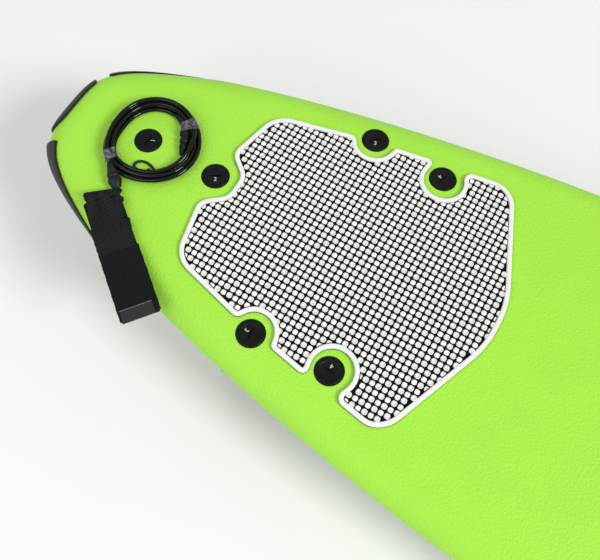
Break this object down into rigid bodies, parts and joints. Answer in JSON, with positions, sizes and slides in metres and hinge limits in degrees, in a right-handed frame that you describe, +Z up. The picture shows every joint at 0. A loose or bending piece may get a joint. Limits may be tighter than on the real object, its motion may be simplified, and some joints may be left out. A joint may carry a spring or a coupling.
{
  "type": "soft-top surfboard",
  "caption": "Foam soft-top surfboard with a rounded tail, bolted fins, textured tail pad, rubber bumpers and an ankle leash coiled on the deck.",
  "frame": {"origin": "centre of the board's footprint, on the floor it stands on, measured without the leash", "axes": "+X from the tail towards the nose, +Y towards the board's left rail seen from behind the tail, +Z up; the board stands on its side fins and its belly, so its deck is pitched about 5.6 degrees with the tail high"},
  "size_m": [2.1356, 0.559, 0.2185],
  "materials": {
    "deck_foam": "matt closed-cell foam with a fine pebbled face",
    "bottom_slick": "smooth semi-gloss sheet",
    "core_foam": "matt bead foam",
    "stringer_wood": "plain ply",
    "bumper_rubber": "matt, finely ribbed",
    "bolt_plastic": "satin moulded nylon",
    "washer_rubber": "matt",
    "sleeve_plastic": "satin",
    "insert_brass": "machined",
    "fin_plastic": "satin moulded nylon",
    "pad_base_foam": "matt foam",
    "pad_top_foam": "matt foam, pressed into small pillows",
    "stainless_steel": "drawn wire",
    "cord_urethane": "glossy extruded urethane",
    "swivel_plastic": "satin moulded urethane with ribs",
    "webbing_fabric": "ribbed woven webbing",
    "string_nylon": "braided string",
    "cuff_neoprene": "knit-faced neoprene",
    "flap_fabric": "hook and loop strap, short nap",
    "tab_plastic": "smooth",
    "clear_tape": "clear crinkled tape"
  },
  "bodies": {
    "board": {"board_swivel_barrel": "swivel_plastic", "board_swivel_eye": "swivel_plastic", "bottom_skin": "bottom_slick", "core_centre": "core_foam", "core_left": "core_foam", "core_right": "core_foam", "cuff_pad": "cuff_neoprene", "cuff_swivel_barrel": "swivel_plastic", "cuff_swivel_eye": "swivel_plastic", "cuff_webbing": "webbing_fabric", "deck_skin": "deck_foam", "fin_centre": "fin_plastic", "fin_left": "fin_plastic", "fin_right": "fin_plastic", "insert_1": "insert_brass", "insert_2": "insert_brass", "insert_3_left": "insert_brass", "insert_3_right": "insert_brass", "insert_4_left": "insert_brass", "insert_4_right": "insert_brass", "leash_cord": "cord_urethane", "leash_plug_bar": "stainless_steel", "leash_plug_cup": "bolt_plastic", "leash_string": "string_nylon", "pad_base": "pad_base_foam", "pad_border": "pad_top_foam", "pad_field": "pad_top_foam", "rail_bumper_left": "bumper_rubber", "rail_bumper_right": "bumper_rubber", "rail_saver_strap": "webbing_fabric", "sleeve_1": "sleeve_plastic", "sleeve_2": "sleeve_plastic", "sleeve_3_left": "sleeve_plastic", "sleeve_3_right": "sleeve_plastic", "sleeve_4_left": "sleeve_plastic", "sleeve_4_right": "sleeve_plastic", "string_knot": "string_nylon", "stringer_left": "stringer_wood", "stringer_right": "stringer_wood", "tail_bumper": "bumper_rubber", "tape_band_left": "clear_tape", "tape_band_right": "clear_tape"},
    "washer_1": {"washer_1": "washer_rubber"},
    "bolt_1": {"bolt_1": "bolt_plastic"},
    "washer_2": {"washer_2": "washer_rubber"},
    "bolt_2": {"bolt_2": "bolt_plastic"},
    "washer_3_left": {"washer_3_left": "washer_rubber"},
    "bolt_3_left": {"bolt_3_left": "bolt_plastic"},
    "washer_3_right": {"washer_3_right": "washer_rubber"},
    "bolt_3_right": {"bolt_3_right": "bolt_plastic"},
    "washer_4_left": {"washer_4_left": "washer_rubber"},
    "bolt_4_left": {"bolt_4_left": "bolt_plastic"},
    "washer_4_right": {"washer_4_right": "washer_rubber"},
    "bolt_4_right": {"bolt_4_right": "bolt_plastic"},
    "board_swivel_pin": {"board_swivel_pin": "stainless_steel"},
    "cuff_swivel_pin": {"cuff_swivel_pin": "stainless_steel"},
    "cuff_flap": {"cuff_flap_ribbed": "webbing_fabric", "cuff_flap": "flap_fabric", "cuff_tab": "tab_plastic"}
  },
  "joints": [
    {"name": "bolt_1_lift", "type": "slide", "parent": "board", "child": "washer_1", "axis": [0.0976, 0, 0.9952], "range_m": [0, 0.00999]},
    {"name": "bolt_1_turn", "type": "hinge", "parent": "washer_1", "child": "bolt_1", "pos_m": [-0.93093, 0, 0.19632], "axis": [0.0976, 0, 0.9952], "range_deg": [0, 2880]},
    {"name": "bolt_2_lift", "type": "slide", "parent": "board", "child": "washer_2", "axis": [0.0976, 0, 0.9952], "range_m": [0, 0.00999]},
    {"name": "bolt_2_turn", "type": "hinge", "parent": "washer_2", "child": "bolt_2", "pos_m": [-0.82842, 0, 0.18627], "axis": [0.0976, 0, 0.9952], "range_deg": [0, 2880]},
    {"name": "bolt_3_left_lift", "type": "slide", "parent": "board", "child": "washer_3_left", "axis": [0.0976, 0, 0.9952], "range_m": [0, 0.00999]},
    {"name": "bolt_3_left_turn", "type": "hinge", "parent": "washer_3_left", "child": "bolt_3_left", "pos_m": [-0.68062, 0.1576, 0.16678], "axis": [0.0976, 0, 0.9952], "range_deg": [0, 2880]},
    {"name": "bolt_3_right_lift", "type": "slide", "parent": "board", "child": "washer_3_right", "axis": [0.0976, 0, 0.9952], "range_m": [0, 0.00999]},
    {"name": "bolt_3_right_turn", "type": "hinge", "parent": "washer_3_right", "child": "bolt_3_right", "pos_m": [-0.68062, -0.1576, 0.16678], "axis": [0.0976, 0, 0.9952], "range_deg": [0, 2880]},
    {"name": "bolt_4_left_lift", "type": "slide", "parent": "board", "child": "washer_4_left", "axis": [0.0976, 0, 0.9952], "range_m": [0, 0.00999]},
    {"name": "bolt_4_left_turn", "type": "hinge", "parent": "washer_4_left", "child": "bolt_4_left", "pos_m": [-0.5783, 0.15059, 0.15718], "axis": [0.0976, 0, 0.9952], "range_deg": [0, 2880]},
    {"name": "bolt_4_right_lift", "type": "slide", "parent": "board", "child": "washer_4_right", "axis": [0.0976, 0, 0.9952], "range_m": [0, 0.00999]},
    {"name": "bolt_4_right_turn", "type": "hinge", "parent": "washer_4_right", "child": "bolt_4_right", "pos_m": [-0.5783, -0.15059, 0.15718], "axis": [0.0976, 0, 0.9952], "range_deg": [0, 2880]},
    {"name": "board_swivel_turn", "type": "hinge", "parent": "board", "child": "board_swivel_pin", "pos_m": [-0.88605, 0.0157, 0.1975], "axis": [0.4346, -0.8909, -0.1321], "continuous": true},
    {"name": "cuff_swivel_turn", "type": "hinge", "parent": "board", "child": "cuff_swivel_pin", "pos_m": [-0.93109, -0.07251, 0.2053], "axis": [0.7191, -0.6322, -0.2885], "continuous": true},
    {"name": "cuff_flap_open", "type": "hinge", "parent": "board", "child": "cuff_flap", "pos_m": [-0.89607, -0.12354, 0.20009], "axis": [-0.6242, -0.7809, 0.0226], "range_deg": [0, 150]}
  ],
  "couplings": [
    {"joint": "bolt_1_turn", "follows": "bolt_1_lift", "rad_per_m": 5026.5},
    {"joint": "bolt_2_turn", "follows": "bolt_2_lift", "rad_per_m": 5026.5},
    {"joint": "bolt_3_left_turn", "follows": "bolt_3_left_lift", "rad_per_m": 5026.5},
    {"joint": "bolt_3_right_turn", "follows": "bolt_3_right_lift", "rad_per_m": 5026.5},
    {"joint": "bolt_4_left_turn", "follows": "bolt_4_left_lift", "rad_per_m": 5026.5},
    {"joint": "bolt_4_right_turn", "follows": "bolt_4_right_lift", "rad_per_m": 5026.5}
  ]
}
